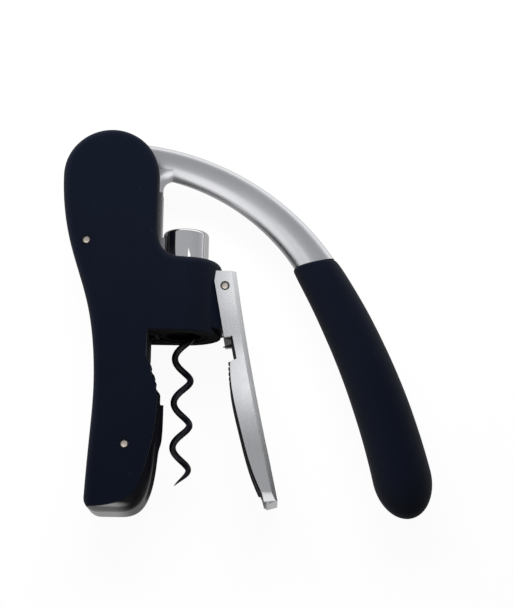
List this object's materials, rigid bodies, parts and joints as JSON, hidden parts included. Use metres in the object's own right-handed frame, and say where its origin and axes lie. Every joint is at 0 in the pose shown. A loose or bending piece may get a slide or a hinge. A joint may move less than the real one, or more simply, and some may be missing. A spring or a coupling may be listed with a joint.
{
  "type": "lever corkscrew",
  "caption": "Lever corkscrew with a soft-touch body, a geared lever and grip that drive a carriage and spinning worm, and a hinged clamp lever for the bottle neck.",
  "frame": {"origin": "centre of the bottle seat: where the worm axis crosses the flat underside of the collar, in the middle plane of the body", "axes": "+Y up the worm axis towards the cap, +X from the handle towards the lever, +Z across the body towards the right shell; the corkscrew lies on its left shell"},
  "size_m": [0.1577, 0.1637, 0.0316],
  "materials": {
    "soft_shell": "soft-touch matte",
    "grip_rubber": "soft matte",
    "core_plastic": "gloss",
    "bush_plastic": "smooth",
    "satin_metal": "satin",
    "rack_metal": "machined",
    "plate_steel": "rolled",
    "pin_steel": "bright",
    "cap_chrome": "polished",
    "worm_coating": "dark low-friction coating",
    "pad_rubber": "matte"
  },
  "bodies": {
    "frame": {"right_shell": "soft_shell", "left_shell": "soft_shell", "right_side_plate": "plate_steel", "left_side_plate": "plate_steel", "handle_core": "core_plastic", "frame_rivet": "pin_steel", "lever_axle": "pin_steel", "axle_bushes": "bush_plastic", "upper_cross_pin": "pin_steel", "lower_cross_pin": "pin_steel", "plate_spacer": "pin_steel", "worm_nut": "bush_plastic", "nut_ring": "core_plastic"},
    "lever": {"lever_arm": "satin_metal", "lever_grip": "grip_rubber"},
    "carriage": {"carriage_rack": "rack_metal", "chrome_cap": "cap_chrome", "spindle_bush": "bush_plastic", "thrust_washer": "pin_steel"},
    "worm_assembly": {"worm": "worm_coating", "worm_spindle": "pin_steel", "spindle_clip": "pin_steel"},
    "clamp": {"clamp_lever": "satin_metal", "clamp_pad": "pad_rubber", "clamp_pin": "pin_steel"}
  },
  "joints": [
    {"name": "lever_swing", "type": "hinge", "parent": "frame", "child": "lever", "pos_m": [-0.0323, 0.065, 0], "axis": [0, 0, 1], "range_deg": [0, 190]},
    {"name": "carriage_slide", "type": "slide", "parent": "frame", "child": "carriage", "axis": [0, 1, 0], "range_m": [0, 0.0623]},
    {"name": "worm_spin", "type": "hinge", "parent": "carriage", "child": "worm_assembly", "pos_m": [0, 0, 0], "axis": [0, 1, 0], "range_deg": [0, 1200]},
    {"name": "clamp_swing", "type": "hinge", "parent": "frame", "child": "clamp", "pos_m": [0.0175, 0.0199, 0], "axis": [0, 0, -1], "range_deg": [0, 13]}
  ],
  "couplings": [
    {"joint": "carriage_slide", "follows": "lever_swing", "m_per_rad": 0.01875},
    {"joint": "worm_spin", "follows": "lever_swing", "ratio": 6.2005}
  ]
}
